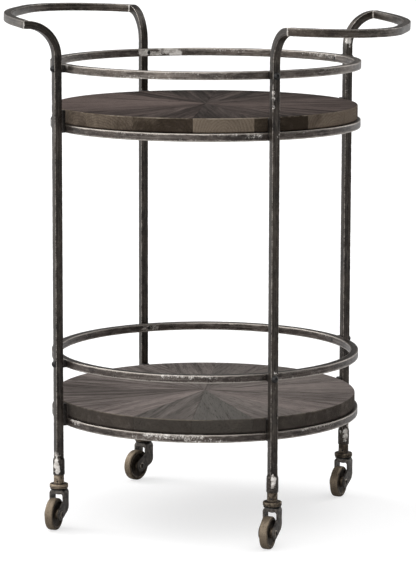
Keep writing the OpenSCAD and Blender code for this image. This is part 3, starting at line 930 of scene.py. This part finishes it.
CROWN_Z, CROWN_TOP_Z = 57.5, 64.0
PLATE_IN, PLATE_T = 10.0, 3.0
PLATE_BACK, PLATE_FRONT = 11.0, -10.0
KNEE, KNEE_R = Vector((-1, 37)), 12.0
FOOT_R = 10.5
RACE_R, RACE_Z, RACE_TOP_Z = 14.2, 64.0, 66.3
FORK_EASE, FORK_DENT, FORK_SCALE = .55, .12, .4
JOIN_Z = 46.0  # under this height the plates follow their outline, above it they are a bent strap
TRAIL = (joint_place("roll_fr") - LEG_XY["fr"]).xy.length


def convex_outline(points):
    """Andrew's monotone chain, anticlockwise."""
    points = sorted((point.x, point.y) for point in points)

    def half(run):
        chain = []
        for point in run:
            while len(chain) > 1 and ((chain[-1][0] - chain[-2][0]) * (point[1] - chain[-2][1])
                                      - (chain[-1][1] - chain[-2][1]) * (point[0] - chain[-2][0])) <= 1e-9:
                chain.pop()
            chain.append(point)
        return chain[:-1]
    return half(points) + half(points[::-1])


def plate_outline():
    """(y, z) of a fork plate under JOIN_Z, anticlockwise from its top rear corner."""
    foot = Vector((-TRAIL, WHEEL_Z))
    around = [unit(FULL_TURN * step / 72) for step in range(72)]
    hull = convex_outline([KNEE + a * KNEE_R for a in around] + [foot + a * FOOT_R for a in around])
    start = max(range(len(hull)), key=lambda index: hull[index][1])
    hull = hull[start:] + hull[:start]
    first = next(index for index, point in enumerate(hull) if point[0] < PLATE_FRONT)
    before, after = hull[first - 1], hull[first]
    share = (PLATE_FRONT - before[0]) / (after[0] - before[0])
    meet = (PLATE_FRONT, before[1] + share * (after[1] - before[1]))
    rest = [point for point in hull[first:] if point[1] < KNEE.y or point[0] < 0]
    return [(PLATE_BACK, JOIN_Z), (PLATE_FRONT, JOIN_Z), meet] + rest + [(PLATE_BACK, KNEE.y)]


def strap_outline():
    """(x, z) of the bent crown above JOIN_Z, anticlockwise from its left foot's outer corner."""
    outer, out_r, in_r = PLATE_IN + PLATE_T, 5.5, 2.2

    def arc(x, z, radius, start, end):
        turns = [radians(start + (end - start) * k / 8) for k in range(9)]
        return [(x + radius * cos(turn), z + radius * sin(turn)) for turn in turns]
    corner, inner = outer - out_r, PLATE_IN - in_r
    top, under = CROWN_TOP_Z - out_r, CROWN_Z - in_r
    return [(outer, JOIN_Z), *arc(corner, top, out_r, 0, 90), *arc(-corner, top, out_r, 90, 180),
            (-outer, JOIN_Z), (-PLATE_IN, JOIN_Z), *arc(-inner, under, in_r, 180, 90),
            *arc(inner, under, in_r, 90, 0), (PLATE_IN, JOIN_Z)]


def extruded(outline, low, high, to_place, keep):
    """A flat outline given thickness, with its rims eased except the edges whose middle keep() names."""
    work = bmesh.new()
    rims = [[work.verts.new(to_place(a, b, level)) for a, b in outline] for level in (low, high)]
    work.faces.new(rims[0][::-1])
    work.faces.new(rims[1])
    count = len(outline)
    for index in range(count):
        after = (index + 1) % count
        work.faces.new([rims[0][index], rims[0][after], rims[1][after], rims[1][index]])
    work.edges.ensure_lookup_table()
    rim_edges = [edge for rim in rims for edge in
                 (work.edges.get((rim[index], rim[(index + 1) % count])) for index in range(count))
                 if not keep((edge.verts[0].co + edge.verts[1].co) / 2)]
    bmesh.ops.bevel(work, geom=rim_edges, offset=FORK_EASE, segments=2, profile=0.5, affect="EDGES")
    bmesh.ops.recalc_face_normals(work, faces=work.faces)
    work.normal_update()
    return work


def add_fork(shape, work, matrix):
    points = []
    for vertex in work.verts:
        place = matrix @ vertex.co
        points.append(place - (matrix.to_3x3() @ vertex.normal) * FORK_DENT * unevenness(place, FORK_SCALE))
    shape.add_work(work, points, edge=.8, tone=.15)


PLATE_OUTLINE, STRAP_OUTLINE = plate_outline(), strap_outline()
STEM_SEGMENTS, RACE_SEGMENTS, AXLE_SEGMENTS, WHEEL_SEGMENTS = 40, 56, 32, 96
HUB_R, HUB_HALF, WEB_HALF = 8.5, 9.7, 5.2
RIM_IN_R, TREAD_HALF = 20.5, 6.75


def wheel_profile():
    """(radius, across, tread) over one side of the wheel, from the hub's bore to the middle of the tread."""
    side = [
        (3.2, HUB_HALF - .5, .3), (3.9, HUB_HALF, .5), (6.9, HUB_HALF, .6), (7.7, HUB_HALF - .3, .7),
        (8.3, HUB_HALF - .9, .7), (HUB_R, HUB_HALF - 1.7, .6), (HUB_R, WEB_HALF + 1.4, .4),
        (9.0, WEB_HALF + .5, 0),
        (10.2, WEB_HALF, 0), (14, WEB_HALF - .35, 0), (18, WEB_HALF - .1, 0), (19.8, WEB_HALF + .15, 0),
        (RIM_IN_R + .1, WEB_HALF + .6, .2), (21.0, TREAD_HALF - .5, .5), (21.6, TREAD_HALF - .1, .7),
        (22.4, TREAD_HALF, .5), (WHEEL_R - 2, TREAD_HALF, .5), (WHEEL_R - 1, TREAD_HALF - .3, .8),
        (WHEEL_R - .4, TREAD_HALF - 1.0, .9), (WHEEL_R - .15, TREAD_HALF - 2.0, 1),
        (WHEEL_R - .05, 3.6, 1), (WHEEL_R, 2, 1), (WHEEL_R, .7, 1),
        (WHEEL_R - .1, .35, .9), (WHEEL_R - .12, 0, .85)]
    return side + [(radius, -across, tread) for radius, across, tread in reversed(side[:-1])]


for corner in CORNERS:
    swivel, hub = LEG_XY[corner], joint_place("roll_" + corner)
    caster, wheelset = "caster_" + corner, "wheelset_" + corner
    trail = (hub - swivel).xy
    heading = atan2(trail.y, trail.x) + pi / 2  # 0 when the wheel trails towards -Y
    local = Matrix.Translation((swivel.x, swivel.y, 0)) @ spun(heading, "Z")

    shape = Shape()
    for side in (-1, 1):
        plate = extruded(PLATE_OUTLINE, PLATE_IN * side, (PLATE_IN + PLATE_T) * side,
                         lambda y, z, x: Vector((x, y, z)), lambda middle: middle.z > JOIN_Z - .01)
        add_fork(shape, plate, local)
    crown = extruded(STRAP_OUTLINE, PLATE_FRONT, PLATE_BACK,
                     lambda x, z, y: Vector((x, y, z)), lambda middle: middle.z < JOIN_Z + .01)
    add_fork(shape, crown, local)
    shape.build(f"fork_{corner}_strap", FORK_METAL, caster, "brass", "fork_" + corner)

    shape = Shape()
    lathe(shape, [(0, 92), (4.2, 92), (5, 91.2), (5, 80), (4, 79.6), (4, 76.4), (5, 76), (5, CROWN_Z)], local,
          STEM_SEGMENTS)
    lathe(shape, [(7.2, CROWN_Z + .2), (7.5, CROWN_Z - .3)]
          + [(radius, -height) for radius, height in dome(7.4, 2.6, 8, -CROWN_Z + .4)], local,
          STEM_SEGMENTS, .1)
    shape.build(f"stem_{corner}_rivet", RIVET_METAL, caster, "brass", "stem_" + corner)

    shape = Shape()
    lathe(shape, [(6, RACE_Z + .2), (RACE_R - .5, RACE_Z), (RACE_R, RACE_Z + .4), (RACE_R - .1, RACE_Z + .9),
                  (RACE_R - .7, RACE_Z + 1.15), (RACE_R - .1, RACE_Z + 1.4), (RACE_R, RACE_Z + 1.9),
                  (RACE_R - .5, RACE_TOP_Z), (6, RACE_TOP_Z - .2)], local, RACE_SEGMENTS)
    shape.build(f"race_{corner}_washers", SCREW, caster, "screw", "race_" + corner)

    across = Matrix.Translation(hub) @ spun(heading, "Z") @ spun(pi / 2, "Y")
    head = PLATE_IN + PLATE_T + .05
    # the axle rivet heads are lighter round their rims, fading to none at the top: a painted highlight ring
    head_rim_highlight = [value for value in (1, 1, 1, .8, .4, .1, 0, 0, 0, 0) for _ in range(HEAD_SEGMENTS)] + [0]
    shape = Shape()
    lathe(shape, [(0, -head), (3, -head), (3, head), (0, head)], across, AXLE_SEGMENTS)
    for way in (0, pi):
        lathe(shape, [(5.2, head), (5.4, head + .35)] + dome(5.3, 2.4, 8, head + .55),
              across @ spun(way, "X"), HEAD_SEGMENTS, .08, edge=.5, tone=head_rim_highlight)
    shape.build(f"axle_{corner}_rivet", RIVET_METAL, caster, "brass", "axle_" + corner)

    shape = Shape()
    profile = wheel_profile()
    rubbed = [tread for _, _, tread in profile for _ in range(WHEEL_SEGMENTS)]
    lathe(shape, [(radius, height) for radius, height, _ in profile], across, WHEEL_SEGMENTS, .22,
          tone=rubbed, edge=[value * .5 for value in rubbed])
    shape.build(f"wheel_{corner}_cast", WHEEL, wheelset, "wheel", "wheel_" + corner)


# ---- CAD nodes that stay ----

for node, material in (("shelf_tabs", IRON), ("shelf_screws", SCREW)):
    keep = frame["nodes"][node]
    keep.data.materials.clear()
    keep.data.materials.append(material)


# ---- floor, light and camera ----

def floor():
    g = Graph(bpy.data.materials.new("pale_floor"))
    soft = g.noise(g.place(), 3.0, 2)
    pale = g.mix(soft, (0.45, 0.45, 0.455), (0.48, 0.48, 0.48))
    material = g.finish(Base_Color=pale, Roughness=0.8, Emission_Color=(1, 1, 1),
                        Emission_Strength=g.times(g.seen(), 0.64))
    mesh = bpy.data.meshes.new("floor")
    reach = 40
    mesh.from_pydata([(-reach, -reach, 0), (reach, -reach, 0), (reach, reach, 0), (-reach, reach, 0)], [],
                     [(0, 1, 2, 3)])
    mesh.materials.append(material)
    linked("floor", mesh)


def studio():
    """A white room and one broad soft light from the left. The room gives less light from the front right
    and, low down, from the back; the camera sees it white all round."""
    world = bpy.data.worlds.new("studio")
    scene.world = world
    g = Graph(world)
    direction = g.place("Generated")

    def dimmed(azimuth, elevation, wide, narrow, full, least):
        """The light from all round, falling from full to least towards one direction."""
        azimuth, elevation = radians(azimuth), radians(elevation)
        way = polar(cos(elevation), azimuth, sin(elevation))
        return g.between(g.vector("DOT_PRODUCT", direction, way), wide, narrow, full, least)

    room = g.times(dimmed(-8, 0, 0.42, 0.86, 1.5, 0.0), dimmed(110, 20, 0.60, 0.90, 1.0, 0.10))
    background = g.tree.nodes["Background"]
    background.inputs["Color"].default_value = (1, 1, 1, 1)
    g.put(background.inputs["Strength"], g.math("MAXIMUM", room, g.seen()))
    light = bpy.data.lights.new("soft_key", "SUN")
    light.energy, light.angle = 0.7, radians(24)
    towards = Vector((-0.80, 0.10, 0.75))
    linked("soft_key", light).rotation_euler = towards.to_track_quat("Z", "Y").to_euler()


def camera():
    """Stands in front, a little to the right, and looks slightly down."""
    azimuth, distance, height = -1.2281, 4.7258, 1.1323
    pitch, yaw, roll = 0.1574, 0.0010, 0.0027
    data = bpy.data.cameras.new("camera")
    data.lens, data.sensor_width = 179.97, 36
    data.clip_end = 200
    view = linked("camera", data)
    scene.camera = view
    turn = spun(azimuth + pi / 2 - yaw, "Z") @ spun(pi / 2 - pitch, "X") @ spun(roll, "Z")
    view.matrix_world = Matrix.Translation(polar(distance, azimuth, height)) @ turn


floor()
studio()
camera()
scene.view_settings.view_transform = "Standard"
